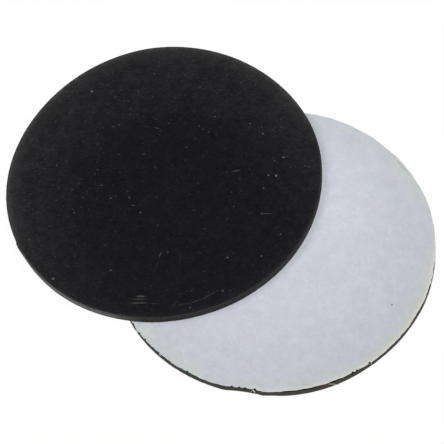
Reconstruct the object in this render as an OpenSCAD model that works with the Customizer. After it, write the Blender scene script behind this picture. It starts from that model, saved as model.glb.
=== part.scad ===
// Pair of round self-adhesive anti-slip pads.
// One pad lies with its backing up. The other lies on it, off centre, with its rubber up.
// Each pad is a disc die-cut from rubber sheet, a double-sided tissue tape, and a paper liner over the tape.

/* [Pad] */
// Diameter of each pad at its widest
pad_d = 80; // [40:1:160]
// Thickness of the rubber sheet
rubber_t = 2; // [1:0.1:6]
// How far the die-cut wall leans in between the rubber face and the backing
cut_draft = 0.12; // [0:0.02:0.3]
// Width of the broken edge round the rubber face
edge_break = 0.15; // [0.05:0.05:0.4]

/* [Backing] */
// Thickness of each coat of adhesive
adhesive_t = 0.05; // [0.02:0.01:0.2]
// Thickness of the tissue that carries the two coats
tissue_t = 0.05; // [0.02:0.01:0.2]
// Thickness of the paper release liner
liner_t = 0.1; // [0.05:0.01:0.3]
// Release gap between the liner and the adhesive that it covers
release_gap = 0.02; // [0.01:0.01:0.1]

/* [Bite in the lower pad's rim] */
// Bearing of the next disc in the sheet, from the line of centres
bite_bearing = 294.6; // [200:0.2:340]
// How far the die's next stroke ran into this disc
stroke_overlap = 0.55; // [0.1:0.05:1.5]

/* [Pair] */
// Distance between the two pads' centres
pad_offset = 34; // [20:1:75]
// Gap between the two liners where one pad lies on the other
seat_gap = 0.05; // [0.02:0.01:0.3]

/* [Hidden] */
// Nicks torn in the lower pad's backing: bearing, width and depth of each
torn_nicks = [
    [254, 0.8, 0.30],
    [262, 0.6, 0.25],
    [274, 0.5, 0.20],
    [291, 1.2, 0.55],
    [299, 1.4, 0.65],
    [333, 0.6, 0.25],
    [340.5, 0.9, 0.35],
];
// Share by which a nick's sides run on past the rim
nick_overrun = 0.5;
// Fineness of the round edges
$fn = 128;

pad_r = pad_d / 2;
backing_r = pad_r - cut_draft;
die_bites = [[bite_bearing, stroke_overlap]];

// Height of each layer above the rubber face
inner_adhesive_z = rubber_t;
tissue_z = inner_adhesive_z + adhesive_t;
outer_adhesive_z = tissue_z + tissue_t;
liner_z = outer_adhesive_z + adhesive_t + release_gap;
pad_t = liner_z + liner_t;
pair_h = 2 * pad_t + seat_gap;

rubber_colour = "#1c1c1e";
adhesive_colour = "#d8cfae";
tissue_colour = "#efece2";
liner_colour = "#c7cad3";

// Areas that other strokes of the same die took out of a disc, each a bearing and an overlap.
module stroke_areas(bites) {
    for (bite = bites) rotate(bite[0]) translate([pad_d - bite[1], 0]) circle(r = pad_r);
}

// V torn into the backing's rim, with its deepest point on the bearing.
module torn_nick(bearing, width, depth) {
    apex_x = backing_r - depth;
    mouth_x = sqrt(backing_r * backing_r - width * width / 4);
    run = 1 + nick_overrun;
    far_x = apex_x + run * (mouth_x - apex_x);
    far_y = run * width / 2;
    out_x = backing_r + depth;
    rotate(bearing) polygon([[apex_x, 0], [far_x, -far_y], [out_x, -far_y], [out_x, far_y], [far_x, far_y]]);
}

// Rubber disc, face down: broken edge round the face, then a wall that leans in to the backing.
module rubber_disc(bites) {
    difference() {
        rotate_extrude() polygon([
            [0, 0],
            [pad_r - edge_break, 0],
            [pad_r, edge_break],
            [backing_r, rubber_t],
            [0, rubber_t],
        ]);
        translate([0, 0, -rubber_t / 2]) linear_extrude(2 * rubber_t) stroke_areas(bites);
    }
}

// One layer of the backing: a thin disc that ends flush with the rubber's cut wall.
module backing_layer(z, t, bites, nicks) {
    translate([0, 0, z]) linear_extrude(t) difference() {
        circle(r = backing_r);
        stroke_areas(bites);
        for (nick = nicks) torn_nick(nick[0], nick[1], nick[2]);
    }
}

// Places of the two pads: the lower one backing up, the upper one turned over on it.
module at_lower() { translate([pad_offset / 2, 0, 0]) children(); }
module at_upper() { translate([-pad_offset / 2, 0, pair_h]) rotate([180, 0, 0]) children(); }

// Backing layers of the lower pad, bitten and nicked, and of the upper pad, which is whole.
module lower_backing(z, t) { at_lower() backing_layer(z, t, die_bites, torn_nicks); }
module upper_backing(z, t) { at_upper() backing_layer(z, t, [], []); }

module lower_rubber_disc() { color(rubber_colour) at_lower() rubber_disc(die_bites); }
module lower_inner_adhesive() { color(adhesive_colour) lower_backing(inner_adhesive_z, adhesive_t); }
module lower_tissue_carrier() { color(tissue_colour) lower_backing(tissue_z, tissue_t); }
module lower_outer_adhesive() { color(adhesive_colour) lower_backing(outer_adhesive_z, adhesive_t); }
module lower_release_liner() { color(liner_colour) lower_backing(liner_z, liner_t); }

module upper_rubber_disc() { color(rubber_colour) at_upper() rubber_disc([]); }
module upper_inner_adhesive() { color(adhesive_colour) upper_backing(inner_adhesive_z, adhesive_t); }
module upper_tissue_carrier() { color(tissue_colour) upper_backing(tissue_z, tissue_t); }
module upper_outer_adhesive() { color(adhesive_colour) upper_backing(outer_adhesive_z, adhesive_t); }
module upper_release_liner() { color(liner_colour) upper_backing(liner_z, liner_t); }

lower_rubber_disc();
lower_inner_adhesive();
lower_tissue_carrier();
lower_outer_adhesive();
lower_release_liner();
upper_rubber_disc();
upper_inner_adhesive();
upper_tissue_carrier();
upper_outer_adhesive();
upper_release_liner();
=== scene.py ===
"""Looks of a pair of round self-adhesive anti-slip pads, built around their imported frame.

One pad lies on the floor with its paper liner up. The other lies on it, off centre, with its rubber up.
Sizes in the classes are millimetres and bearings are degrees about a pad's own centre, from +X towards +Y.
Meshes and lamps are in metres.
"""

import logging
import math
from collections.abc import Iterable, Sequence
from dataclasses import dataclass, replace
from enum import Enum
from functools import cached_property, partial, reduce

import bpy
import numpy as np
from mathutils import Matrix, Vector


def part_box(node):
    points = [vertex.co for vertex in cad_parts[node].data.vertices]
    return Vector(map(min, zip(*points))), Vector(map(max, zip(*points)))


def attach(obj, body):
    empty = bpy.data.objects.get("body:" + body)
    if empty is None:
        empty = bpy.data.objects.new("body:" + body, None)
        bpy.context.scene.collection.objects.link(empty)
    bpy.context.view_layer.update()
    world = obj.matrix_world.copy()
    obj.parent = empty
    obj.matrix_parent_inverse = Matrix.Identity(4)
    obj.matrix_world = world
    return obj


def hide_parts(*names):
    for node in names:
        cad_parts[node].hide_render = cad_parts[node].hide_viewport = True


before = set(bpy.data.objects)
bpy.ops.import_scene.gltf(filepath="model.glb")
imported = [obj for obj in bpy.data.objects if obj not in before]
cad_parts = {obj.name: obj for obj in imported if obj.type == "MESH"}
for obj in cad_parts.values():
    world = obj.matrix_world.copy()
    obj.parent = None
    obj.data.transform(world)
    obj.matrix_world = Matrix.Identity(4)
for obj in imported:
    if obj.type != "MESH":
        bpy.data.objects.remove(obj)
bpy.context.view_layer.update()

LOG = logging.getLogger("pads")
MM = 0.001
# Camera: side of the photo in pixels, width of the sensor in millimetres, nearest sight in metres
PHOTO_SIDE = 444
SENSOR = 36.0
CLIP_START = 0.01
# Shapes: radius of the die, least angle of a sharp edge, where a face's first and last rings lie,
# points over a sheet's edge, and a shred's rings, points, taper and how far its middle stands proud
DIE_RADIUS = 40.0
SHARP_ANGLE = 50.0
FACE_SPAN = (0.04, 0.995)
SHEET_EDGE_POINTS = 5
SHRED_RINGS = 16
SHRED_POINTS = 12
SHRED_TAPER = 0.5
SHRED_PROUD = 0.3
# Patterns: a speck's soft rim and a fleck's core as shares, and the soft sides and noise of strands
SPECK_SOFT = 0.4
FLECK_CORE = 0.4
STRAND_SOFT = 0.12
STRAND_DEPTH = 50.0
STRAND_DETAIL = 3.0
STRAND_ROUGH = 0.6
# Colour of the surroundings, and what takes the height out of a place
WHITE = (1.0, 1.0, 1.0)
LEVEL = (1.0, 1.0, 0.0)

Array = np.ndarray
Material = bpy.types.Material
Node = bpy.types.Node
Piece = bpy.types.Object
Socket = bpy.types.NodeSocket
Feed = Socket | float | tuple
Inputs = dict[int | str, Feed]
Pair = tuple[float, float]
Triple = tuple[float, float, float]
Rise = tuple[float, ...]


class Facing(Enum):
    """Which way a pad's rubber looks."""

    RUBBER_DOWN = "rubber_down"
    RUBBER_UP = "rubber_up"


class Layer(Enum):
    """The layers of one pad, from the rubber outwards, by the end of their node's name."""

    RUBBER = "rubber_disc"
    INNER_GLUE = "inner_adhesive"
    TISSUE = "tissue_carrier"
    OUTER_GLUE = "outer_adhesive"
    LINER = "release_liner"


class Slot(Enum):
    """Material slots of the record."""

    RUBBER = "black_rubber"
    GLUE = "tape_adhesive"
    TISSUE = "tape_tissue"
    LINER = "liner_paper"


class Mask(Enum):
    """Vertex attributes that tell a finish where it is on a piece."""

    CUT_WALL = "cut_wall"
    RELEASE_SIDE = "release_side"
    EDGE = "edge"


def smooth_step(value: Array, low: float, high: float) -> Array:
    """Rises from 0 at low to 1 at high, which may be below low, with level ends: t * t * (3 - 2 * t)."""
    t = np.clip((value - low) / (high - low), 0.0, 1.0)
    return t * t * (3.0 - 2.0 * t)


def turn_from(bearings: Array, bearing: float) -> Array:
    """Signed angle in degrees from one bearing to others, from -180 to 180."""
    return (bearings - bearing + 180.0) % 360.0 - 180.0


def on_bearing(bearing: float, length: float = 1.0) -> Triple:
    """Level vector of some length that points along a bearing."""
    return length * math.cos(math.radians(bearing)), length * math.sin(math.radians(bearing)), 0.0


def closed_noise(count: int, feature: float, seed: int) -> Array:
    """Random wave round a closed loop: white noise less its short waves, scaled to unit spread.

    Args:
        count: Points round the loop.
        feature: Length of the shortest waves, in points.
        seed: Seed of the random draw.

    Returns:
        One value per point.
    """
    spectrum = np.fft.rfft(np.random.default_rng(seed).normal(size=count))
    waves = np.arange(spectrum.size)
    spectrum *= np.exp(-0.5 * (2.0 * math.pi * waves * feature / count) ** 2)
    spectrum[0] = 0.0
    noise = np.fft.irfft(spectrum, count)
    return noise / noise.std()


@dataclass(frozen=True)
class Wave:
    """One slow wave of a rim: height * cos(order * (bearing - crest))."""

    order: int
    height: float
    crest: float


@dataclass(frozen=True)
class Bulge:
    """A swell of a rim, or a hollow below 0, of some degrees before and after its crest, smooth or sharp."""

    bearing: float
    height: float
    before: float
    after: float | None = None
    sharp: bool = False


@dataclass(frozen=True)
class Nick:
    """A round nick torn out of a rim, width wide at the rim."""

    bearing: float
    width: float
    depth: float


@dataclass(frozen=True)
class Bite:
    """Lens that the next stroke of the die, a circle of the die's own radius, took out of a rim."""

    bearing: float
    overlap: float

    def limit(self, bearings: Array) -> Array:
        """Radius at which a ray meets the stroke: reach * cos(turn) - sqrt(die^2 - (reach * sin(turn))^2).

        Args:
            bearings: Bearings of the rays in degrees.

        Returns:
            The radius in millimetres, without end where a ray misses the stroke.
        """
        reach = 2.0 * DIE_RADIUS - self.overlap
        turn = np.radians(turn_from(bearings, self.bearing))
        inside = DIE_RADIUS ** 2 - (reach * np.sin(turn)) ** 2
        near = reach * np.cos(turn) - np.sqrt(np.maximum(inside, 0.0))
        return np.where((inside > 0.0) & (near > 0.0), near, np.inf)


@dataclass(frozen=True)
class RimOutline:
    """Outline of one layer seen from above, as a radius for each bearing."""

    radius: float
    waves: tuple[Wave, ...] = ()
    bulges: tuple[Bulge, ...] = ()
    bites: tuple[Bite, ...] = ()
    nicks: tuple[Nick, ...] = ()
    ragged: float = 0.0
    ragged_length: float = 0.45
    seed: int = 1

    def radii(self, bearings: Array) -> Array:
        """Radius plus waves and bulges, cut by the bites, less a parabola for each nick, ragged.

        Args:
            bearings: Bearings in degrees, evenly spaced round the rim where the outline is ragged.

        Returns:
            The radius at each bearing, in millimetres.
        """
        out = np.full(bearings.shape, self.radius)
        for wave in self.waves:
            out += wave.height * np.cos(wave.order * np.radians(bearings - wave.crest))
        for bulge in self.bulges:
            turn = turn_from(bearings, bulge.bearing)
            near = 1.0 - np.abs(turn) / np.where(turn < 0.0, bulge.before, bulge.after or bulge.before)
            out += bulge.height * (np.clip(near, 0.0, 1.0) if bulge.sharp else smooth_step(near, 0.0, 1.0))
        for bite in self.bites:
            out = np.minimum(out, bite.limit(bearings))
        for nick in self.nicks:
            along = np.radians(turn_from(bearings, nick.bearing)) * self.radius
            out -= nick.depth * np.clip(1.0 - (2.0 * along / nick.width) ** 2, 0.0, 1.0)
        if self.ragged:
            spacing = 2.0 * math.pi * self.radius / bearings.size
            out += self.ragged * closed_noise(bearings.size, self.ragged_length / spacing, self.seed)
        return out


@dataclass(frozen=True)
class Lip:
    """A lobe of a sheet's rim that is bent up past a curved crease, depth from the rim at its middle."""

    bearing: float
    reach: float
    depth: float
    slope: float

    def rise(self, bearings: Array, from_rim: Array) -> Array:
        """Slope times the way past the crease, which lies depth * (1 - (turn / reach)^2) inside the rim."""
        crease = self.depth * (1.0 - (turn_from(bearings, self.bearing) / self.reach) ** 2)
        return self.slope * np.maximum(crease - from_rim, 0.0)


@dataclass(frozen=True)
class Shred:
    """A shred on a pad's wall, drop below the tape, that leans along the rim on its way down."""

    bearing: float
    width: float
    length: float
    lean: float
    thickness: float = 0.08
    drop: float = 0.0


@dataclass(frozen=True)
class SheetCut:
    """How a layer of the backing is cut: how far inside the liner's rim and nicks, and how raggedly."""

    layer: Layer
    name: str
    slot: Slot
    setback: float
    under_nick: float
    ragged: float
    seed: int
    face_rings: int = 7


TAPE_CUTS = (
    SheetCut(Layer.INNER_GLUE, "inner_glue", Slot.GLUE, 0.20, 0.25, 0.02, 11),
    SheetCut(Layer.TISSUE, "tissue", Slot.TISSUE, 0.15, 0.25, 0.03, 12),
    SheetCut(Layer.OUTER_GLUE, "outer_glue", Slot.GLUE, 0.20, 0.25, 0.02, 11),
)
LINER_CUT = SheetCut(Layer.LINER, "liner_sheet", Slot.LINER, 0.0, 0.0, 0.045, 13, 20)


@dataclass(frozen=True)
class Profile:
    """Section of a disc from the middle of its underside, out and up its wall, to the middle of its top.

    A point lies at share * (rim radius - inset) from the axis and at its height over the layer's foot.
    """

    share: Array
    inset: Array
    height: Array
    wall: Array

    def turned_over(self, thickness: float) -> "Profile":
        """The same section with its underside up, still listed from the underside's middle."""
        return Profile(self.share[::-1], self.inset[::-1], thickness - self.height[::-1], self.wall[::-1])

    def from_rim(self, radius: float) -> Array:
        """Distance of each point from a rim of some radius."""
        return radius - self.share * (radius - self.inset)

    @staticmethod
    def joined(*parts: tuple) -> "Profile":
        """Strings stretches of (share, inset, height, wall share) together into one section."""
        columns = [np.broadcast_arrays(*part) for part in parts]
        return Profile(*(np.concatenate([part[i] for part in columns]).astype(float) for i in range(4)))


def face_shares(count: int) -> Array:
    """Ring places over a round face from near its middle to near its rim, closer together towards the rim."""
    return np.sin(np.linspace(*FACE_SPAN, count) * math.pi / 2.0)


def placed(name: str, data: bpy.types.ID) -> Piece:
    """New object of a mesh, lamp or camera, in the scene, at the origin."""
    piece = bpy.data.objects.new(name, data)
    bpy.context.scene.collection.objects.link(piece)
    return piece


def mesh_object(name: str, places: Array, faces: list[list[int]]) -> Piece:
    """Object of places and faces, smooth but sharp over the edges of a cut.

    Args:
        name: Name of the object.
        places: Vertices in metres.
        faces: Corners of each face.

    Returns:
        The new object.
    """
    mesh = bpy.data.meshes.new(name)
    mesh.from_pydata(places, (), faces, shade_flat=False)
    mesh.validate()
    mesh.set_sharp_from_angle(angle=math.radians(SHARP_ANGLE))
    return placed(name, mesh)


def shell_object(name: str, grids: Sequence[Array]) -> Piece:
    """Closed shells, one for each grid of rings, with a vertex at the middle of each end ring.

    Points run counterclockwise seen from where the rings go, so that all faces look outwards.

    Args:
        name: Name of the object.
        grids: Places in metres, as ring by point by three.

    Returns:
        The new object.
    """
    places, quads, fans = [], [], []
    start = 0
    for grid in grids:
        ring_count, around, _ = grid.shape
        index = start + np.arange(ring_count * around).reshape(ring_count, around)
        after = np.roll(index, -1, axis=1)
        first = start + ring_count * around
        places += [grid.reshape(-1, 3), grid[[0, -1]].mean(axis=1)]
        quads += np.stack([index[:-1], after[:-1], after[1:], index[1:]], axis=-1).reshape(-1, 4).tolist()
        fans += np.stack([np.full(around, first), after[0], index[0]], axis=-1).tolist()
        fans += np.stack([np.full(around, first + 1), index[-1], after[-1]], axis=-1).tolist()
        start = first + 2
    return mesh_object(name, np.concatenate(places), quads + fans)


def mask_rings(piece: Piece, mask: Mask, values: Array) -> None:
    """Keeps one value for each ring of a one-grid shell, as a vertex attribute.

    Args:
        piece: The shell.
        mask: Which attribute.
        values: One value per ring.
    """
    around = (len(piece.data.vertices) - 2) // values.size
    spread = np.concatenate([np.repeat(values, around), values[[0, -1]]])
    attribute = piece.data.attributes.new(mask.value, "FLOAT", "POINT")
    attribute.data.foreach_set("value", spread.astype(np.float32))


@dataclass(frozen=True)
class Mark:
    """A fleck or scratch on a face: an oval about a place, at full strength in its core, a share of it."""

    x: float
    y: float
    length: float
    width: float
    turn: float
    strength: float
    core: float = 0.2


def flecks(radius: float, strength: float, *places: Pair) -> tuple[Mark, ...]:
    """Round marks of one size at listed places."""
    return tuple(Mark(x, y, 2.0 * radius, 2.0 * radius, 0.0, strength, FLECK_CORE) for x, y in places)


@dataclass(frozen=True)
class SpeckSet:
    """Random specks of one size: one in some of the cells of a grid, in millimetres."""

    spacing: float
    radius: float
    share: float
    strength: float


@dataclass(frozen=True)
class Smear:
    """Glue smeared over a wall from one bearing to another, its end slanting along the rim going down."""

    start: float
    end: float
    slant: float
    side_fade: float = 0.6
    end_fade: float = 0.12
    run_on: float = 5.0
    span: Pair = (0.97, 0.985)


@dataclass(frozen=True)
class Cloud:
    """Noise of so many waves per millimetre, made to rise from start at level low to end at level high."""

    scale: float
    detail: float
    rough: float
    low: float
    high: float
    start: float = 0.0
    end: float = 1.0


@dataclass(frozen=True)
class Streaks:
    """Noise with waves of a length of its own along each of three axes, which are turned about Z."""

    lengths: Triple
    detail: float
    rough: float = 0.5
    turn: float = 0.0


@dataclass(frozen=True)
class StrandSet:
    """Long thin strokes in a few directions, where a stretched noise is over a level."""

    length: float
    width: float
    level: float
    turns: tuple[float, ...]

    def streaks(self, turn: float) -> Streaks:
        """The noise of one direction."""
        return Streaks((self.length, self.width, STRAND_DEPTH), STRAND_DETAIL, STRAND_ROUGH, turn)


class NodeBench:
    """Short calls that wire the nodes of one material or world, with its patterns about one centre."""

    def __init__(self, owner: Material | bpy.types.World, centre: Vector | None = None) -> None:
        """Starts from the owner's own shader.

        Args:
            owner: The material or world.
            centre: Centre of the patterns in metres, if it isn't the origin.
        """
        owner.use_nodes = True
        self.owner = owner
        self.centre = centre or Vector()
        self.nodes = owner.node_tree.nodes
        self.shader = next(node for node in self.nodes if node.outputs)

    @cached_property
    def place(self) -> Socket:
        """Object coordinates in millimetres from the centre."""
        inputs = {0: self.add("TexCoord").outputs["Object"], 1: tuple(-self.centre / MM), 3: (1.0 / MM,) * 3}
        return self.add("Mapping", inputs).outputs[0]

    def add(self, kind: str, inputs: Inputs | None = None, **settings: object) -> Node:
        """New node of a kind.

        Args:
            kind: Blender's name of its type, without the first words.
            inputs: What its inputs get, by number or name.
            settings: Its own settings.

        Returns:
            The new node.
        """
        node = self.nodes.new("ShaderNode" + kind)
        for key, value in settings.items():
            setattr(node, key, value)
        self.feed(node, inputs or {})
        return node

    def feed(self, node: Node, inputs: Inputs) -> None:
        """Links outputs to a node's inputs, or sets the inputs' own values.

        Args:
            node: The node.
            inputs: Outputs, numbers, vectors or colours, by the input's number or name.
        """
        for key, value in inputs.items():
            socket = node.inputs[key]
            if isinstance(value, Socket):
                self.owner.node_tree.links.new(value, socket)
            else:
                socket.default_value = (*value, 1.0) if socket.type == "RGBA" else value

    def math(self, operation: str, *values: Feed, clamp: bool = False) -> Socket:
        """Result of a Math node on up to three numbers."""
        return self.add("Math", dict(enumerate(values)), operation=operation, use_clamp=clamp).outputs[0]

    def product(self, *values: Feed) -> Feed:
        """Product of some numbers."""
        return reduce(partial(self.math, "MULTIPLY"), values)

    def scaled(self, value: Feed, factor: float, rest: Feed) -> Socket:
        """A value times a factor, plus the rest."""
        return self.math("MULTIPLY_ADD", value, factor, rest)

    def largest(self, values: Iterable[Feed]) -> Feed:
        """Largest of some numbers from 0 up, or 0 where there are none."""
        return reduce(partial(self.math, "MAXIMUM"), values, 0.0)

    def vector(self, operation: str, *values: Feed) -> Socket:
        """Result of a Vector Math node that gives a vector."""
        return self.add("VectorMath", dict(enumerate(values)), operation=operation).outputs["Vector"]

    def measure(self, operation: str, *values: Feed) -> Socket:
        """Result of a Vector Math node that gives a number."""
        return self.add("VectorMath", dict(enumerate(values)), operation=operation).outputs["Value"]

    def rise(self, value: Feed, low: float, high: float, start: float = 0.0, end: float = 1.0) -> Socket:
        """Smooth rise of a value from start at low to end at high, level beyond both."""
        inputs = dict(enumerate((value, low, high, start, end)))
        return self.add("MapRange", inputs, interpolation_type="SMOOTHSTEP").outputs[0]

    def blend(self, share: Feed, first: Feed, second: Feed) -> Socket:
        """Colour mixed from the first to the second by a share."""
        return self.add("Mix", {0: share, 6: first, 7: second}, data_type="RGBA").outputs[2]

    def layered(self, base: Feed, *coats: tuple[Feed, Feed]) -> Feed:
        """Base colour with coats mixed in, in order, each by a share and a colour."""
        return reduce(lambda tone, coat: self.blend(coat[0], tone, coat[1]), coats, base)

    def noise(self, scale: float, detail: float = 2.0, rough: float = 0.5, place: Socket | None = None,
              output: str = "Fac") -> Socket:
        """Noise of so many waves per unit of a place, with finer waves by their number and share."""
        inputs = {"Vector": place or self.place, "Scale": scale, "Detail": detail, "Roughness": rough}
        return self.add("TexNoise", inputs).outputs[output]

    def cloud(self, cloud: Cloud) -> Socket:
        """A cloud's noise with its rise."""
        noise = self.noise(cloud.scale, cloud.detail, cloud.rough)
        return self.rise(noise, cloud.low, cloud.high, cloud.start, cloud.end)

    def streaks(self, streaks: Streaks) -> Socket:
        """Stretched noise."""
        return self.noise(1.0, streaks.detail, streaks.rough, self.stretched(streaks.lengths, streaks.turn))

    def strands(self, strands: StrandSet) -> Feed:
        """1 on a stroke and 0 off it, with soft sides."""
        noises = (self.streaks(strands.streaks(turn)) for turn in strands.turns)
        return self.largest(self.rise(noise, strands.level, strands.level + STRAND_SOFT) for noise in noises)

    def stretched(self, lengths: Triple, turn: float = 0.0, middle: Triple = (0.0, 0.0, 0.0),
                  place: Socket | None = None) -> Socket:
        """Place along axes turned about Z that cross at a middle, each with a unit length of its own."""
        inputs = {0: place or self.place, 1: middle, 2: (0.0, 0.0, math.radians(turn)), 3: lengths}
        return self.add("Mapping", inputs, vector_type="TEXTURE").outputs[0]

    def warped(self, scale: float, reach: float) -> Socket:
        """Place pushed about by noise, as far as reach, so that patterns on it lose their round shapes."""
        push = self.vector("SUBTRACT", self.noise(scale, output="Color"), (0.5, 0.5, 0.5))
        return self.vector("MULTIPLY_ADD", push, (2.0 * reach,) * 3, self.place)

    def flat(self, place: Socket | None = None) -> Socket:
        """Place with no height."""
        return self.vector("MULTIPLY", place or self.place, LEVEL)

    def outward(self, radius: float, span: Pair, place: Socket | None = None) -> Socket:
        """Rises from 0 to 1 going away from the axis, between two shares of a radius."""
        return self.rise(self.measure("LENGTH", self.flat(place)), span[0] * radius, span[1] * radius)

    def towards(self, bearing: float) -> Socket:
        """Cosine of the turn from a bearing, the same along each radius."""
        return self.measure("DOT_PRODUCT", self.vector("NORMALIZE", self.flat()), on_bearing(bearing))

    def sector(self, start: float, end: float, soft: float) -> Socket:
        """1 between two bearings and 0 outside, with fades that reach soft degrees to both sides of each."""
        turns = (min(180.0, (end - start) / 2.0 + soft), max(0.0, (end - start) / 2.0 - soft))
        return self.rise(self.towards((start + end) / 2.0), *(math.cos(math.radians(turn)) for turn in turns))

    def specks(self, specks: SpeckSet, place: Socket) -> Socket:
        """Round specks of random sizes, one in some of the cells of a flat Voronoi pattern.

        Args:
            specks: Their sizes and strength.
            place: Place in millimetres.

        Returns:
            Their strength inside a speck and 0 outside, with soft rims.
        """
        inputs = {"Vector": place, "Scale": 1.0 / specks.spacing}
        cells = self.add("TexVoronoi", inputs, voronoi_dimensions="2D")
        random = self.add("SeparateColor", {0: cells.outputs["Color"]}).outputs[0]
        size = specks.radius / specks.spacing
        reach = self.product(self.rise(random, 1.0 - specks.share, 1.0), size)
        inside = self.math("SUBTRACT", reach, cells.outputs["Distance"])
        return self.rise(inside, 0.0, SPECK_SOFT * size, 0.0, specks.strength)

    def marks(self, marks: Iterable[Mark], place: Socket | None = None) -> Feed:
        """The largest of some soft ovals.

        Args:
            marks: The ovals.
            place: Place in millimetres, if it isn't the bench's own.

        Returns:
            The strength.
        """
        ovals = []
        level = self.flat(place)
        for mark in marks:
            half = (mark.length / 2.0, mark.width / 2.0, 1.0)
            own = self.stretched(half, mark.turn, (mark.x, mark.y, 0.0), level)
            ovals.append(self.rise(self.measure("LENGTH", own), 1.0, mark.core, 0.0, mark.strength))
        return self.largest(ovals)

    def mask(self, mask: Mask) -> Socket:
        """One of the piece's own vertex attributes."""
        return self.add("Attribute", attribute_name=mask.value).outputs["Fac"]

    def seen(self) -> Feed:
        """1 for rays that look at the background: camera, glossy and transmission rays."""
        path = self.add("LightPath")
        return self.largest(path.outputs[f"Is {kind} Ray"] for kind in ("Camera", "Glossy", "Transmission"))

    def mixed(self, share: Feed, first: Node, second: Node) -> Node:
        """Mix Shader node of two shaders, with a share of the second."""
        return self.add("MixShader", {0: share, 1: first.outputs[0], 2: second.outputs[0]})

    def surface(self, colour: Feed, roughness: Feed, specular: float = 0.5) -> None:
        """Gives the shader its colour, roughness and specular level."""
        self.feed(self.shader, {"Base Color": colour, "Roughness": roughness, "Specular IOR Level": specular})

    def bump(self, height: Socket, depth: float, strength: float) -> None:
        """Gives the shader fine relief, a height from 0 to 1 times a depth in millimetres."""
        node = self.add("Bump", {"Strength": strength, "Distance": depth * MM, "Height": height})
        self.feed(self.shader, {"Normal": node.outputs[0]})


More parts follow.
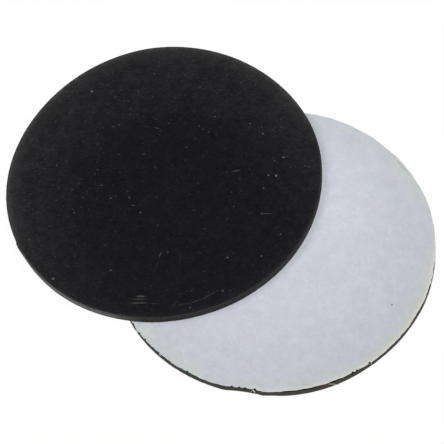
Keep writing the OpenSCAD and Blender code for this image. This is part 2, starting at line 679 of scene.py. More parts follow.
@dataclass(frozen=True)
class RubberFinish:
    """Matt black rubber sheet with faint bloom and painted sheen towards one side of the rim, dust and
    scratches, wear and a painted highlight along the tread edge, and a greyer die-cut wall with painted light
    on part of it.

    Rises list low, high, start and end, the last two where they aren't 0 and 1. Those called falls go by the
    cosine of the turn from the bearing of the bloom and painted sheen. Noises list scale, detail and
    roughness, warps scale and reach, and a relief its depth and strength. Spans are shares of the radius.
    """

    name: str
    radius: float
    # Bearing of the side where bloom and painted sheen lighten the face
    bloom_sheen_bearing: float = 150.0
    marks: tuple[Mark, ...] = ()
    flecks: tuple[Mark, ...] = ()
    smear: Smear | None = None
    # Sector of the cut wall, in bearings, that is made paler with painted light
    painted_lit_sector: Pair | None = None
    black: Triple = (0.0055, 0.0056, 0.0068)
    # Paler black of the bloom and of the painted sheen where light glances off the face
    bloom_and_sheen: Triple = (0.0144, 0.0143, 0.0158)
    # Paler grey of the tread edge: wear, and a painted highlight where the edge catches light
    wear_and_highlight: Triple = (0.056, 0.055, 0.056)
    dust: Triple = (0.17, 0.17, 0.165)
    cut: Triple = (0.076, 0.075, 0.070)
    cut_dark: Triple = (0.035, 0.035, 0.034)
    # Paler grey of the painted light on that sector of the wall
    cut_painted_lit: Triple = (0.17, 0.17, 0.16)
    glue_brown: Triple = (0.066, 0.051, 0.042)
    dark_shift: float = 5.0
    bloom_sheen_span: Pair = (0.36, 1.08)
    bloom_sheen_fall: Rise = (-1.0, 0.0, 0.1)
    wear_highlight_fall: Rise = (-0.2, 0.15, 0.13)
    dust_fall: Rise = (-0.7, 0.3, 0.45)
    edge_rise: Rise = (0.85, 1.0, 0.0, 0.45)
    grain_rise: Rise = (0.3, 0.7, 0.77, 1.27)
    stripe_rise: Rise = (0.32, 0.68)
    painted_lit_rise: Rise = (0.25, 0.6, 0.25)
    smear_rise: Rise = (0.25, 0.5, 0.5)
    speck_warp: Pair = (2.5, 0.3)
    mark_warp: Pair = (1.2, 0.12)
    painted_lit_fade: float = 14.0
    hair_strength: float = 0.05
    specular: float = 0.045
    roughness: float = 0.54
    polish: float = 0.16
    polish_noise: Triple = (0.35, 4.0, 0.6)
    relief: Pair = (0.03, 0.6)
    coarse_noise: Triple = (0.6, 2.0, 0.5)
    fine_noise: Triple = (5.0, 3.0, 0.6)
    fine_share: float = 0.2
    bloom_sheen_cloud: Cloud = Cloud(0.07, 5.0, 0.6, 0.25, 0.75, 0.85, 1.2)
    patch: Cloud = Cloud(0.45, 2.0, 0.5, 0.3, 0.7, 0.80, 1.24)
    edge_breaks: Cloud = Cloud(0.8, 3.0, 0.6, 0.3, 0.6, 0.5, 1.0)
    scratch_breaks: Cloud = Cloud(1.8, 3.0, 0.6, 0.35, 0.6, 0.5, 1.0)
    calendering: Streaks = Streaks((1.1, 0.6, 1.1), 1.0, 0.5, 42.0)
    cut_stripes: Streaks = Streaks((0.3, 0.3, 2.6), 4.0, 0.65)
    smear_stripes: Streaks = Streaks((0.4, 0.4, 2.6), 3.0, 0.6)
    hairs: StrandSet = StrandSet(18.0, 0.5, 0.70, (33.0, 64.0, 141.0))
    speck_sets: tuple[SpeckSet, ...] = (
        SpeckSet(1.7, 0.27, 0.5, 0.14),
        SpeckSet(4.2, 0.34, 0.5, 0.20),
        SpeckSet(9.5, 0.34, 0.3, 0.22),
    )

    def paint(self, bench: NodeBench) -> None:
        """Black with bloom and painted sheen towards one side of the rim, wear and a painted highlight on the
        tread edge, specks and marks, and a striped cut wall with painted light on part of it.

        Args:
            bench: The bench.
        """
        tone = bench.layered(
            self.face_tone(bench),
            (self.edge_wear_and_highlight(bench), self.wear_and_highlight),
            (self.dusting(bench), self.dust),
            (bench.mask(Mask.CUT_WALL), self.wall_tone(bench)),
        )
        if self.smear is not None:
            tone = bench.blend(self.smearing(bench), tone, self.glue_brown)
        rough = bench.scaled(bench.noise(*self.polish_noise), self.polish, self.roughness)
        bench.surface(tone, rough, self.specular)
        fine = bench.noise(*self.fine_noise)
        bench.bump(bench.scaled(fine, self.fine_share, bench.noise(*self.coarse_noise)), *self.relief)

    def bloom_sheen_side(self, bench: NodeBench, fall: Rise) -> Socket:
        """Rise towards the side where the bloom and painted sheen are."""
        return bench.rise(bench.towards(self.bloom_sheen_bearing), *fall)

    def face_tone(self, bench: NodeBench) -> Socket:
        """Black that lightens with bloom and painted sheen towards the rim, more on one side, in soft clouds
        and fine grain.

        Args:
            bench: The bench.

        Returns:
            The colour.
        """
        darkest = on_bearing(self.bloom_sheen_bearing + 180.0, self.dark_shift)
        outward = bench.outward(self.radius, self.bloom_sheen_span, bench.vector("SUBTRACT", bench.place, darkest))
        # Painted sheen, with bloom: the face is made paler towards the rim on one side
        bloom_and_sheen = bench.product(outward, self.bloom_sheen_side(bench, self.bloom_sheen_fall))
        share = bench.math("MULTIPLY", bloom_and_sheen, bench.cloud(self.bloom_sheen_cloud), clamp=True)
        grain = bench.rise(bench.streaks(self.calendering), *self.grain_rise)
        tone = bench.blend(share, self.black, self.bloom_and_sheen)
        return bench.vector("MULTIPLY", tone, bench.product(grain, bench.cloud(self.patch)))

    def edge_wear_and_highlight(self, bench: NodeBench) -> Feed:
        """Wear and a painted highlight along the tread's edge, broad on the side of the bloom and painted
        sheen, and a thin painted highlight line elsewhere.

        Args:
            bench: The bench.

        Returns:
            Share of wear and painted highlight.
        """
        edge = bench.mask(Mask.EDGE)
        broad = bench.product(edge, self.bloom_sheen_side(bench, self.wear_highlight_fall), bench.cloud(self.edge_breaks))
        return bench.largest([broad, bench.rise(edge, *self.edge_rise)])

    def dusting(self, bench: NodeBench) -> Feed:
        """Random specks in a few sizes and hair scratches, with the listed marks and flecks.

        Args:
            bench: The bench.

        Returns:
            Share of dust.
        """
        hairs = bench.product(bench.strands(self.hairs), self.hair_strength)
        uneven = bench.warped(*self.speck_warp)
        loose = bench.largest([hairs, *(bench.specks(one_size, uneven) for one_size in self.speck_sets)])
        loose = bench.product(loose, self.bloom_sheen_side(bench, self.dust_fall))
        bent = bench.warped(*self.mark_warp)
        scratches = bench.product(bench.marks(self.marks, bent), bench.cloud(self.scratch_breaks))
        return bench.largest([loose, scratches, bench.marks(self.flecks, bent)])

    def wall_tone(self, bench: NodeBench) -> Socket:
        """Grey of the cut wall in upright stripes, with painted light that makes it paler in streaks over one
        sector.

        Args:
            bench: The bench.

        Returns:
            The colour.
        """
        stripes = bench.streaks(self.cut_stripes)
        tone = bench.blend(bench.rise(stripes, *self.stripe_rise), self.cut_dark, self.cut)
        if self.painted_lit_sector is None:
            return tone
        # Painted light: paler streaks over one sector of the wall, where it faces the light
        streak = bench.rise(stripes, *self.painted_lit_rise)
        pale = bench.product(bench.sector(*self.painted_lit_sector, self.painted_lit_fade), streak)
        return bench.blend(pale, tone, self.cut_painted_lit)

    def smearing(self, bench: NodeBench) -> Feed:
        """Streaks of glue over the wall and the back's edge, up to a slanted end.

        It ends where the way along the rim from its last bearing, plus slant times the height over the
        wall's middle, is 0.

        Args:
            bench: The bench.

        Returns:
            Share of glue.
        """
        smear = self.smear
        x, y, _ = on_bearing(smear.end)
        past_end = bench.measure("DOT_PRODUCT", bench.place, (-y, x, smear.slant))
        return bench.product(
            bench.sector(smear.start, smear.end + smear.run_on, smear.side_fade),
            bench.rise(past_end, smear.end_fade, -smear.end_fade),
            bench.rise(bench.streaks(self.smear_stripes), *self.smear_rise),
            bench.outward(self.radius, smear.span),
        )


@dataclass(frozen=True)
class LinerFinish:
    """Pale blue-grey release paper: cloudy, faintly fibrous, darkened to its rim and to one side by painted
    shade, and partly yellowed at its rim.

    Spans are shares of the radius. Noises list scale, detail and roughness, the relief depth and strength.
    """

    name: str
    radius: float
    marks: tuple[Mark, ...] = ()
    # Broad patches of painted light on the paper
    painted_light_patches: tuple[Mark, ...] = ()
    paper: Triple = (0.634, 0.655, 0.730)
    cool: Triple = (0.624, 0.655, 0.709)
    warm: Triple = (0.647, 0.652, 0.728)
    rim_grey: Triple = (0.645, 0.680, 0.672)
    yellow: Triple = (0.690, 0.685, 0.570)
    back: Triple = (0.70, 0.69, 0.64)
    torn: Triple = (0.80, 0.80, 0.75)
    # Colour of the dark marks, one of which is the painted shade of a crease
    mark_and_crease_shade: Triple = (0.10, 0.09, 0.08)
    grey_span: Pair = (0.86, 0.985)
    yellow_span: Pair = (0.938, 0.990)
    aged: Triple = (336.0, 384.0, 14.0)
    frayed: Triple = (298.0, 394.0, 10.0)
    # Painted shade: darkening towards the rim, and a slope across the paper from one side
    fade_rim: float = 0.12
    fade_along: Pair = (-0.088, 0.026)
    fibre_depth: float = 0.03
    specular: float = 0.3
    roughness: float = 0.46
    cloud_rough: float = 0.12
    release_gloss: float = 0.28
    relief: Pair = (0.02, 0.5)
    coarse_noise: Triple = (0.25, 3.0, 0.5)
    fine_noise: Triple = (1.6, 4.0, 0.6)
    fine_share: float = 0.5
    cool_cloud: Cloud = Cloud(0.11, 5.0, 0.6, 0.35, 0.65)
    warm_patch: Cloud = Cloud(0.06, 3.0, 0.5, 0.38, 0.62, 0.0, 0.6)
    grey_patch: Cloud = Cloud(0.09, 3.0, 0.5, 0.35, 0.6, 0.15, 0.8)
    yellow_speckle: Cloud = Cloud(0.9, 4.0, 0.65, 0.38, 0.62, 0.15, 0.9)
    grain: Cloud = Cloud(1.3, 5.0, 0.7, 0.25, 0.75, 0.95, 1.05)
    mottle: Cloud = Cloud(0.4, 3.0, 0.5, 0.3, 0.7, 0.968, 1.032)
    fibres: StrandSet = StrandSet(2.9, 0.33, 0.62, (8.0, 52.0, 97.0, 149.0))

    def paint(self, bench: NodeBench) -> None:
        """Cloudy paper with fibres, painted shade and light, a greyed and yellowed rim, dark marks with a
        painted crease shade, and a rim that is partly white.

        Args:
            bench: The bench.
        """
        cloud = bench.cloud(self.cool_cloud)
        release = bench.mask(Mask.RELEASE_SIDE)
        unshaded_paper = bench.layered(
            self.paper,
            (cloud, self.cool),
            (bench.cloud(self.warm_patch), self.warm),
            (self.greying(bench), self.rim_grey),
            (self.ageing(bench), self.yellow),
        )
        tone = bench.layered(
            bench.vector("MULTIPLY", unshaded_paper, self.shading(bench)),
            (bench.marks(self.marks), self.mark_and_crease_shade),
            (release, self.back),
            (bench.product(bench.mask(Mask.EDGE), bench.sector(*self.frayed)), self.torn),
        )
        satin = bench.scaled(cloud, self.cloud_rough, self.roughness)
        bench.surface(tone, bench.scaled(release, -self.release_gloss, satin), self.specular)
        fuzz = bench.noise(*self.fine_noise)
        bench.bump(bench.scaled(fuzz, self.fine_share, bench.noise(*self.coarse_noise)), *self.relief)

    def greying(self, bench: NodeBench) -> Feed:
        """Share of a greenish grey that lies in broad patches along the rim."""
        return bench.product(bench.outward(self.radius, self.grey_span), bench.cloud(self.grey_patch))

    def ageing(self, bench: NodeBench) -> Feed:
        """Share of speckled yellow close to part of the rim, where glue shows through."""
        rim = bench.outward(self.radius, self.yellow_span)
        return bench.product(rim, bench.cloud(self.yellow_speckle), bench.sector(*self.aged))

    def shading(self, bench: NodeBench) -> Feed:
        """Painted shade and light as a factor: darker to the rim and to one side, paler in painted light
        patches, mottled, grained.

        Args:
            bench: The bench.

        Returns:
            The factor.
        """
        share = bench.math("DIVIDE", bench.measure("LENGTH", bench.flat()), self.radius)
        rim = bench.product(share, share, -self.fade_rim)
        slope = (self.fade_along[0] / self.radius, self.fade_along[1] / self.radius, 0.0)
        across = bench.measure("DOT_PRODUCT", bench.place, slope)
        # Painted shade and light: darker to the rim and to one side, paler in painted light patches
        soiling_and_shade = reduce(partial(bench.math, "ADD"), (rim, across, 1.0, bench.marks(self.painted_light_patches)))
        fibre = bench.scaled(bench.strands(self.fibres), -self.fibre_depth, 1.0)
        return bench.product(soiling_and_shade, fibre, bench.cloud(self.grain), bench.cloud(self.mottle))


@dataclass(frozen=True)
class GlueFinish:
    """Clear tacky glue over tissue: straw coloured, glossy, with fibres and small bubbles showing."""

    name: str
    straw: Triple = (0.62, 0.56, 0.40)
    fibre: Triple = (0.74, 0.70, 0.58)
    bubble: Triple = (0.50, 0.44, 0.30)
    fibre_share: float = 0.6
    roughness: float = 0.12
    dulling: float = 0.22
    dull_noise: Triple = (0.15, 4.0, 0.5)
    relief: Pair = (0.02, 0.5)
    coarse_noise: Triple = (0.9, 3.0, 0.5)
    bubble_depth: float = 1.2
    fibres: StrandSet = StrandSet(4.5, 0.45, 0.58, (15.0, 63.0, 118.0, 160.0))
    bubbles: SpeckSet = SpeckSet(1.3, 0.22, 0.35, 0.5)

    def paint(self, bench: NodeBench) -> None:
        """Straw film with a tissue's fibres under it and bubbles in it.

        Args:
            bench: The bench.
        """
        thread = bench.product(bench.strands(self.fibres), self.fibre_share)
        bubbles = bench.specks(self.bubbles, bench.place)
        tone = bench.layered(self.straw, (thread, self.fibre), (bubbles, self.bubble))
        bench.surface(tone, bench.scaled(bench.noise(*self.dull_noise), self.dulling, self.roughness))
        bench.bump(bench.scaled(bubbles, -self.bubble_depth, bench.noise(*self.coarse_noise)), *self.relief)


@dataclass(frozen=True)
class TissueFinish:
    """White long-fibre tissue that carries the glue."""

    name: str
    white: Triple = (0.80, 0.79, 0.75)
    gap: Triple = (0.62, 0.59, 0.52)
    roughness: float = 0.9
    relief: Pair = (0.02, 0.7)
    fibres: StrandSet = StrandSet(3.3, 0.33, 0.5, (0.0, 36.0, 81.0, 127.0))

    def paint(self, bench: NodeBench) -> None:
        """Crossing fibres with gaps between them.

        Args:
            bench: The bench.
        """
        thread = bench.strands(self.fibres)
        bench.surface(bench.blend(thread, self.gap, self.white), self.roughness)
        bench.bump(thread, *self.relief)


Finish = RubberFinish | LinerFinish | GlueFinish | TissueFinish


@dataclass
class Pad:
    """One pad: rubber disc, glue, tissue, glue and paper liner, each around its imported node."""

    name: str
    facing: Facing
    outline: RimOutline
    rubber_finish: RubberFinish
    liner_finish: LinerFinish
    rubber_bulges: tuple[Bulge, ...] = ()
    sheet_bulges: tuple[Bulge, ...] = ()
    nicks: tuple[Nick, ...] = ()
    lips: tuple[Lip, ...] = ()
    torn_tissue: tuple[Shred, ...] = ()
    glue_strings: tuple[Shred, ...] = ()
    soiled_glue: Finish | None = None
    bearing_count: int = 1800
    tread_rings: int = 24
    rounding_rings: int = 7
    wall_rings: int = 9
    back_rings: int = 7
    edge_break: float = 0.3
    # Spans of the tread edge's wear and painted highlight, narrow and broad, in millimetres from the rim
    edge_wear_and_highlight: Pair = (1.7, 0.15)
    broad_edge_span: Pair = (5.5, 1.0)
    broad_edge_share: float = 0.28
    draft: float = 0.12
    hollow: float = 0.04
    stripe: float = 0.012
    stripe_length: float = 0.25
    setback: float = 0.0
    bite_setback: float = 0.2
    pale_rim: float = 1.6
    paleness: float = 0.45
    seed: int = 7

    def __post_init__(self) -> None:
        """Reads the pad's centre from its packed rubber disc, and makes its bearings and materials."""
        low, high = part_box(self.node(Layer.RUBBER))
        self.centre = (low + high) / 2.0
        self.bearings = np.arange(self.bearing_count) * 360.0 / self.bearing_count
        self.rubber_outline = replace(self.outline, bulges=self.outline.bulges + self.rubber_bulges)
        finishes = {
            Slot.RUBBER: self.rubber_finish,
            Slot.GLUE: GlueFinish(f"{self.name}_straw_glue"),
            Slot.TISSUE: TissueFinish(f"{self.name}_white_tissue"),
            Slot.LINER: self.liner_finish,
        }
        self.looks = {slot: self.look(finish) for slot, finish in finishes.items()}

    def node(self, layer: Layer) -> str:
        """Name of a layer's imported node."""
        return f"{self.name}_{layer.value}"

    def level(self, layer: Layer) -> float:
        """Height of a layer's foot, in millimetres."""
        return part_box(self.node(layer))[0].z / MM

    def thickness(self, layer: Layer) -> float:
        """Thickness of a layer, in millimetres."""
        low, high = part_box(self.node(layer))
        return (high.z - low.z) / MM

    def look(self, finish: Finish) -> Material:
        """Material of a finish, with its patterns about the pad's centre."""
        material = bpy.data.materials.new(finish.name)
        finish.paint(NodeBench(material, self.centre))
        return material

    def build(self) -> list[Piece]:
        """Builds and dresses every layer, and the shreds on the wall.

        Returns:
            The pad's pieces, from the rubber outwards.
        """
        pieces = [self.rubber(), *map(self.tape_layer, TAPE_CUTS), self.liner()]
        if self.torn_tissue:
            pieces.append(self.shreds("torn_tissue", self.torn_tissue, Slot.TISSUE))
        if self.glue_strings:
            soiling_and_shade = self.look(self.soiled_glue)
            pieces.append(self.shreds("glue_strings", self.glue_strings, Slot.GLUE, soiling_and_shade))
        return pieces

    def spun(self, radius: Array, bearings: Array, height: Array) -> Array:
        """Places from a radius, a bearing and a height over the floor.

        Args:
            radius: Millimetres from the pad's axis.
            bearings: Degrees.
            height: Millimetres.

        Returns:
            Places in metres, with three numbers on the last axis.
        """
        angle = np.radians(bearings)
        x = self.centre.x + MM * radius * np.cos(angle)
        y = self.centre.y + MM * radius * np.sin(angle)
        return np.stack(np.broadcast_arrays(x, y, MM * height), axis=-1)

    def rings(self, profile: Profile, outline: RimOutline, layer: Layer, stripes: Array | float = 0.0,
              lips: Sequence[Lip] = ()) -> Array:
        """Carries a section round an outline: radius = share * (outline - inset).

        Args:
            profile: The section.
            outline: What the section's rim follows.
            layer: Layer whose foot it stands on.
            stripes: Extra radius of the wall at each bearing.
            lips: Lobes of the rim that are bent up.

        Returns:
            Places in metres, as ring by bearing by three.
        """
        rim = outline.radii(self.bearings)[None, :]
        radius = profile.share[:, None] * (rim - profile.inset[:, None]) + profile.wall[:, None] * stripes
        height = self.level(layer) + profile.height[:, None] + np.zeros_like(radius)
        for lip in lips:
            height += lip.rise(self.bearings[None, :], rim - radius)
        return self.spun(radius, self.bearings[None, :], height)

    def dressed(self, piece: Piece, slot: Slot, body: str, layer: Layer | None = None,
                look: Material | None = None) -> Piece:
        """Gives a piece its material, slot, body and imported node.

        Args:
            piece: The piece.
            slot: Its material slot.
            body: End of its body's name.
            layer: Layer that it stands for, if it does.
            look: Its material, if it isn't the slot's own.

        Returns:
            The piece.
        """
        piece.data.materials.append(look or self.looks[slot])
        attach(piece, f"{self.name}_{body}")
        if layer is not None:
            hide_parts(self.node(layer))
        return piece

    def wall_inset(self, climb: Array) -> Array:
        """How far the wall lies inside the rim, from the tread at 0 to the backing at 1: draft and hollow."""
        return self.draft * climb + self.hollow * np.sin(math.pi * climb)

    def rubber(self) -> Piece:
        """Rubber disc: flat tread, rounded tread edge, hollow striped wall that leans in towards the backing.

        Returns:
            The piece.
        """
        thickness = self.thickness(Layer.RUBBER)
        arc = np.linspace(0.0, math.pi / 2.0, self.rounding_rings)
        climb = np.linspace(0.0, 1.0, self.wall_rings + 1)[1:]
        break_in = self.edge_break * (1.0 - np.sin(arc))
        break_up = self.edge_break * (1.0 - np.cos(arc))
        profile = Profile.joined(
            (face_shares(self.tread_rings), self.edge_break, 0.0, 0.0),
            (1.0, break_in, break_up, arc / arc[-1]),
            (1.0, self.wall_inset(climb), self.edge_break + (thickness - self.edge_break) * climb, 1.0),
            (face_shares(self.back_rings)[::-1], self.draft, thickness, 0.0),
        )
        from_rim = profile.from_rim(self.outline.radius)
        # Edge mask: wear and a painted highlight along the tread edge
        wear_and_highlight = (1.0 - self.broad_edge_share) * smooth_step(from_rim, *self.edge_wear_and_highlight)
        wear_and_highlight += self.broad_edge_share * smooth_step(from_rim, *self.broad_edge_span)
        wear_and_highlight[self.tread_rings + self.rounding_rings:] = 0.0
        if self.facing is Facing.RUBBER_UP:
            profile = profile.turned_over(thickness)
            wear_and_highlight = wear_and_highlight[::-1]
        spacing = 2.0 * math.pi * self.outline.radius / self.bearing_count
        stripes = self.stripe * closed_noise(self.bearing_count, self.stripe_length / spacing, self.seed)
        rings = self.rings(profile, self.rubber_outline, Layer.RUBBER, stripes)
        piece = shell_object(f"{self.name}_rubber", [rings])
        mask_rings(piece, Mask.CUT_WALL, profile.wall)
        mask_rings(piece, Mask.EDGE, wear_and_highlight)
        return self.dressed(piece, Slot.RUBBER, "pad", Layer.RUBBER)

    def sheet_outline(self, cut: SheetCut) -> RimOutline:
        """Outline of a backing layer: the pad's own with the sheets' bulges, set back, nicked and ragged.

        Args:
            cut: How the layer is cut.

        Returns:
            The outline.
        """
        bites = self.outline.bites
        extra = cut.under_nick
        return replace(
            self.outline,
            radius=self.outline.radius - self.draft - self.setback - cut.setback,
            bulges=self.outline.bulges + self.sheet_bulges,
            bites=tuple(replace(bite, overlap=bite.overlap + self.bite_setback) for bite in bites),
            nicks=tuple(Nick(nick.bearing, nick.width + extra, nick.depth + extra) for nick in self.nicks),
            ragged=cut.ragged,
            seed=self.seed + cut.seed,
        )

    def sheet_profile(self, cut: SheetCut) -> Profile:
        """Section of a thin flat layer with a round edge.

        Args:
            cut: How the layer is cut.

        Returns:
            The section.
        """
        half = 0.5 * self.thickness(cut.layer)
        turn = np.linspace(-math.pi / 2.0, math.pi / 2.0, SHEET_EDGE_POINTS)
        return Profile.joined(
            (face_shares(cut.face_rings), half, 0.0, 0.0),
            (1.0, half * (1.0 - np.cos(turn)), half * (1.0 + np.sin(turn)), 1.0),
            (face_shares(cut.face_rings)[::-1], half, 2.0 * half, 0.0),
        )

    def tape_layer(self, cut: SheetCut) -> Piece:
        """A coat of glue, or the tissue between the two coats."""
        rings = self.rings(self.sheet_profile(cut), self.sheet_outline(cut), cut.layer)
        return self.dressed(shell_object(f"{self.name}_{cut.name}", [rings]), cut.slot, "pad", cut.layer)

    def liner(self) -> Piece:
        """The paper liner with its ragged rim and raised lips, as a sheet laid on the glue.

        Returns:
            The piece.
        """
        cut = LINER_CUT
        profile = self.sheet_profile(cut)
        outline = self.sheet_outline(cut)
        rings = self.rings(profile, outline, cut.layer, lips=self.lips)
        piece = shell_object(f"{self.name}_{cut.name}", [rings])
        release = (np.arange(profile.share.size) < cut.face_rings).astype(float)
        if self.facing is Facing.RUBBER_UP:
            release = release[::-1]
        mask_rings(piece, Mask.RELEASE_SIDE, release)
        inside = profile.from_rim(outline.radius)
        pale = self.paleness * np.clip(1.0 - inside / self.pale_rim, 0.0, 1.0) ** 2
        mask_rings(piece, Mask.EDGE, np.maximum(profile.wall, pale))
        return self.dressed(piece, cut.slot, "liner", cut.layer)

    def shreds(self, name: str, shreds: Sequence[Shred], slot: Slot,
               look: Material | None = None) -> Piece:
        """Shreds down the wall, each a closed shell of its own."""
        piece = shell_object(f"{self.name}_{name}", [self.shred_rings(shred) for shred in shreds])
        return self.dressed(piece, slot, "pad", look=look)

    def shred_rings(self, shred: Shred) -> Array:
        """One shred on the wall of a pad that lies rubber down: a flat oval carried down the wall, tapering.

        At a share s of the way down, the oval is width * (1 - taper * s * s) wide and lean * s along the rim.

        Args:
            shred: The shred.

        Returns:
            Places in metres, as ring by point by three.
        """
        down = np.linspace(0.0, 1.0, SHRED_RINGS)[:, None]
        turn = np.linspace(0.0, 2.0 * math.pi, SHRED_POINTS, endpoint=False)[None, :]
        along = shred.lean * down + 0.5 * shred.width * (1.0 - SHRED_TAPER * down * down) * np.cos(turn)
        bearings = shred.bearing + np.degrees(along / self.outline.radius)
        top = self.thickness(Layer.RUBBER)
        height = top - shred.drop - shred.length * down
        climb = np.clip((height - self.edge_break) / (top - self.edge_break), 0.0, 1.0)
        proud = shred.thickness * (SHRED_PROUD + 0.5 * np.sin(turn))
        radius = self.rubber_outline.radii(bearings) - self.wall_inset(climb) + proud
        return self.spun(radius, bearings, self.level(Layer.RUBBER) + height)


@dataclass(frozen=True)
class Viewpoint:
    """The camera, by the direction it looks from, in degrees and millimetres."""

    azimuth: float = 43.77
    elevation: float = 59.27
    roll: float = -9.19
    target: Triple = (1.36, -0.58, 0.0)
    distance: float = 453.9
    focal_pixels: float = 1800.0

    def build(self) -> None:
        """Places the camera and makes it the scene's own."""
        data = bpy.data.cameras.new("camera")
        data.sensor_width = SENSOR
        data.lens = SENSOR * self.focal_pixels / PHOTO_SIDE
        data.clip_start = CLIP_START
        camera = placed("camera", data)
        camera.matrix_world = Matrix.Translation(Vector(self.target) * MM)
        for angle, axis in ((self.azimuth, "Z"), (90.0 - self.elevation, "X"), (self.roll, "Z")):
            camera.matrix_world @= Matrix.Rotation(math.radians(angle), 4, axis)
        camera.matrix_world @= Matrix.Translation((0.0, 0.0, self.distance * MM))
        bpy.context.scene.camera = camera


@dataclass(frozen=True)
class SoftLamp:
    """A square soft light that looks at the pads, in metres and watts."""

    name: str
    place: Triple
    side: float
    power: float

    def build(self) -> None:
        """Hangs the lamp and turns it to the origin."""
        data = bpy.data.lights.new(self.name, "AREA")
        data.shape = "SQUARE"
        data.size = self.side
        data.energy = self.power
        lamp = placed(self.name, data)
        lamp.location = self.place
        lamp.rotation_euler = (-Vector(self.place)).to_track_quat("-Z", "Y").to_euler()


@dataclass(frozen=True)
class Studio:
    """White floor, white surroundings and soft lamps, in metres."""

    floor_half: float = 2.5
    floor_drop: float = 0.00003
    floor_white: float = 0.97
    floor_glow: float = 0.95
    ambient: float = 0.12
    lamps: tuple[SoftLamp, ...] = (
        SoftLamp("key_lamp", (0.45, -0.10, 0.90), 0.6, 8.05),
        SoftLamp("left_lamp", (-0.46, -0.44, 0.82), 0.6, 2.8),
    )

    def build(self) -> None:
        """Sets the view, lays the floor, lights the world and hangs the lamps."""
        bpy.context.scene.view_settings.view_transform = "Standard"
        self.floor()
        self.world()
        for lamp in self.lamps:
            lamp.build()

    def floor(self) -> None:
        """White floor that glows to white for the camera, keeps a faint shadow and is clear from below."""
        half = self.floor_half
        corners = np.array([(-half, -half), (half, -half), (half, half), (-half, half)])
        places = np.column_stack([corners, np.full(4, -self.floor_drop)])
        floor = mesh_object("floor", places, [[0, 1, 2, 3]])
        bench = NodeBench(bpy.data.materials.new("white_floor"))
        bench.nodes.remove(bench.shader)
        diffuse = bench.add("BsdfDiffuse", {"Color": (self.floor_white,) * 3})
        lit = bench.mixed(bench.product(bench.seen(), self.floor_glow), diffuse, bench.add("Emission"))
        below = bench.add("NewGeometry").outputs["Backfacing"]
        sided = bench.mixed(below, lit, bench.add("BsdfTransparent"))
        bench.feed(bench.nodes["Material Output"], {"Surface": sided.outputs[0]})
        floor.data.materials.append(bench.owner)

    def world(self) -> None:
        """White world at full strength where it is seen, and at the ambient strength as light."""
        bench = NodeBench(bpy.data.worlds.new("studio"))
        strength = bench.scaled(bench.seen(), 1.0 - self.ambient, self.ambient)
        bench.feed(bench.shader, {"Color": WHITE, "Strength": strength})
        bpy.context.scene.world = bench.owner


LOWER_OUTLINE = RimOutline(
    40.0,
    bulges=(
        Bulge(246.0, 0.23, 42.0), Bulge(10.0, 0.08, 20.0), Bulge(53.0, 0.14, 15.0), Bulge(79.0, -0.07, 12.0),
        Bulge(104.0, 0.15, 16.0),
    ),
    bites=(Bite(294.6, 0.55),),
)
LOWER_RUBBER_BULGES = (
    Bulge(322.0, 0.33, 28.0), Bulge(304.0, -0.14, 6.0), Bulge(352.0, 0.05, 14.0), Bulge(11.0, 0.05, 13.0),
)
LOWER_SHEET_BULGES = (
    Bulge(344.0, 0.16, 22.0), Bulge(323.8, 0.18, 3.0), Bulge(30.0, 0.09, 5.0), Bulge(275.5, -0.10, 9.0),
    Bulge(261.2, -0.16, 6.0, 0.3, True), Bulge(262.2, -0.10, 0.3, 7.0, True),
    Bulge(20.7, 0.10, 0.9, sharp=True), Bulge(17.9, 0.08, 0.8, sharp=True),
)
LOWER_NICKS = (
    Nick(246.5, 0.7, 0.15), Nick(250.8, 0.6, 0.20), Nick(254.0, 0.8, 0.20), Nick(258.5, 0.5, 0.15),
    Nick(266.3, 0.5, 0.15), Nick(273.7, 0.5, 0.25), Nick(290.4, 0.6, 0.22), Nick(23.8, 1.8, 0.08),
    Nick(298.5, 0.55, 0.30), Nick(302.3, 0.5, 0.15), Nick(333.1, 0.7, 0.35), Nick(334.8, 0.5, 0.20),
    Nick(339.9, 0.7, 0.40), Nick(287.3, 1.0, 0.07), Nick(293.0, 0.5, 0.10), Nick(295.0, 0.6, 0.08),
    Nick(19.4, 0.9, 0.08),
)
LOWER_LIPS = (Lip(313.0, 6.5, 1.4, 0.09), Lip(350.0, 14.0, 1.0, 0.06), Lip(30.0, 16.0, 1.2, 0.07))
LOWER_TORN = (
    Shred(248.7, 0.65, 2.0, 0.1),
    Shred(261.7, 0.22, 0.8, 0.05),
    Shred(297.2, 0.22, 0.4, 0.1, drop=0.9),
    Shred(297.9, 0.42, 1.1, 0.35, drop=0.05),
    Shred(340.6, 0.16, 1.9, 0.1),
)
LOWER_STRINGS = (Shred(324.2, 0.30, 1.9, 2.2, 0.2),)
LOWER_LINER_MARKS = (
    Mark(33.5, 2.2, 0.65, 0.50, 30.0, 0.95),
    # Painted shade along the crease in front of a bent-up lip
    Mark(28.5, -26.8, 4.4, 0.40, 30.0, 0.35),
    Mark(14.0, 36.6, 9.0, 0.70, 159.0, 0.22),
)
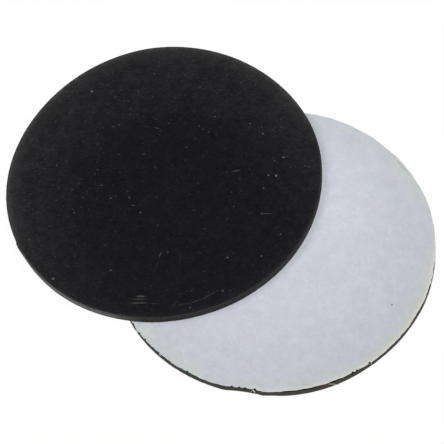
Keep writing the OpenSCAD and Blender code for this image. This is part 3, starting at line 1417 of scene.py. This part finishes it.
# Broad patch of painted light on the lower liner
LOWER_LINER_PAINTED_LIGHT = (Mark(6.0, 21.0, 44.0, 30.0, 120.0, 0.045),)
UPPER_OUTLINE = RimOutline(
    40.3,
    waves=(Wave(2, 0.26, 92.0), Wave(3, 0.20, 11.0), Wave(4, 0.14, 40.0)),
    bulges=(
        Bulge(272.0, 0.17, 30.0), Bulge(132.0, 0.07, 18.0), Bulge(24.0, -0.20, 34.0),
        Bulge(318.0, -0.10, 18.0), Bulge(241.6, 0.26, 0.9, 5.5, True),
    ),
)
UPPER_SCRATCHES = (
    Mark(16.5, -32.3, 6.6, 0.5, 34.0, 0.35),
    Mark(15.9, -31.4, 6.0, 0.5, 33.0, 0.22),
    Mark(15.9, -30.5, 3.8, 0.75, 32.0, 0.36),
    Mark(20.0, -30.2, 3.5, 0.4, 30.0, 0.13),
    Mark(26.1, -26.3, 4.4, 0.4, 42.0, 0.15),
    Mark(28.0, -24.1, 4.6, 0.45, 56.0, 0.24),
    Mark(29.8, -20.9, 6.5, 0.45, 65.0, 0.22),
    Mark(23.7, -25.0, 1.4, 0.4, 120.0, 0.20),
    Mark(24.1, -27.5, 3.2, 0.5, 94.0, 0.10),
    Mark(14.1, -21.9, 5.2, 0.5, 105.0, 0.10),
    Mark(17.8, -16.9, 5.2, 0.5, 121.0, 0.10),
    Mark(17.7, -6.5, 1.5, 0.5, 40.0, 0.26),
    Mark(28.2, 5.5, 4.0, 0.35, 33.0, 0.36),
    Mark(14.4, 11.5, 3.2, 0.4, 49.0, 0.48),
    Mark(22.3, 21.5, 1.2, 0.45, 33.0, 1.0),
    Mark(-12.5, 10.1, 3.0, 0.3, 29.0, 0.16),
    Mark(-10.4, 11.0, 2.6, 0.35, 16.0, 0.34),
    Mark(-11.9, -10.6, 1.7, 0.35, 42.0, 0.42),
    Mark(-1.4, -10.9, 1.7, 0.35, 36.0, 0.38),
    Mark(-24.3, 20.3, 6.0, 0.4, 34.0, 0.10),
)
UPPER_FLECKS = (
    *flecks(0.35, 0.95, (-31.7, 10.9), (-5.3, -38.6), (23.8, 15.9)),
    *flecks(0.26, 0.85, (27.3, -10.0), (22.1, 15.0), (13.6, 24.5)),
    *flecks(
        0.30, 0.42,
        (1.4, -11.6), (-7.5, -12.3), (5.2, -28.8), (9.1, 25.2), (-1.5, 17.5), (0.2, 22.0), (-3.6, -9.6),
        (23.3, 11.2), (12.8, -18.2), (12.9, -18.8), (14.0, -16.9), (-20.2, 5.2), (34.1, -5.1), (34.5, 2.6),
        (27.1, 4.8), (27.9, -26.3), (31.8, -18.2),
    ),
    *flecks(
        0.30, 0.16,
        (-6.8, -11.1), (20.1, 2.7), (32.5, 3.6), (17.1, 5.8), (2.2, -5.7), (7.3, -12.2), (-37.2, 7.2),
        (-31.4, 19.2), (-22.7, 13.2), (-19.8, 12.1), (11.5, 30.4), (20.9, 19.3), (-8.3, 7.8),
    ),
)
SOILED_GLUE = GlueFinish(
    "soiled_glue", straw=(0.36, 0.345, 0.31), fibre=(0.42, 0.40, 0.37), bubble=(0.26, 0.25, 0.22))


def lower_pad() -> Pad:
    """The pad on the floor, with its liner up and its worn backing in view.

    Returns:
        The pad.
    """
    radius = LOWER_OUTLINE.radius
    rubber = RubberFinish("lower_black_rubber", radius, smear=Smear(320.8, 325.6, 1.12))
    liner = LinerFinish("lower_liner_paper", radius, LOWER_LINER_MARKS, LOWER_LINER_PAINTED_LIGHT)
    return Pad("lower", Facing.RUBBER_DOWN, LOWER_OUTLINE, rubber, liner, LOWER_RUBBER_BULGES,
               LOWER_SHEET_BULGES, LOWER_NICKS, LOWER_LIPS, LOWER_TORN, LOWER_STRINGS, SOILED_GLUE,
               setback=-0.05)


def upper_pad() -> Pad:
    """The pad that lies on the other one, with its rubber up.

    Returns:
        The pad.
    """
    radius = UPPER_OUTLINE.radius
    rubber = RubberFinish(
        # The wall gets painted light from 246 to 288 degrees
        "upper_black_rubber", radius, marks=UPPER_SCRATCHES, flecks=UPPER_FLECKS, painted_lit_sector=(246.0, 288.0),
        cut=(0.044, 0.043, 0.041), cut_dark=(0.020, 0.020, 0.020))
    liner = LinerFinish("upper_liner_paper", radius)
    return Pad("upper", Facing.RUBBER_UP, UPPER_OUTLINE, rubber, liner, draft=0.06, setback=0.15, seed=31)


def main() -> None:
    """Builds the studio, the camera and both pads, and reports each piece."""
    logging.basicConfig(level=logging.INFO, format="%(message)s")
    Studio().build()
    Viewpoint().build()
    for pad in (lower_pad(), upper_pad()):
        for piece in pad.build():
            LOG.info("%s: %d faces", piece.name, len(piece.data.polygons))


if __name__ == "__main__":
    main()
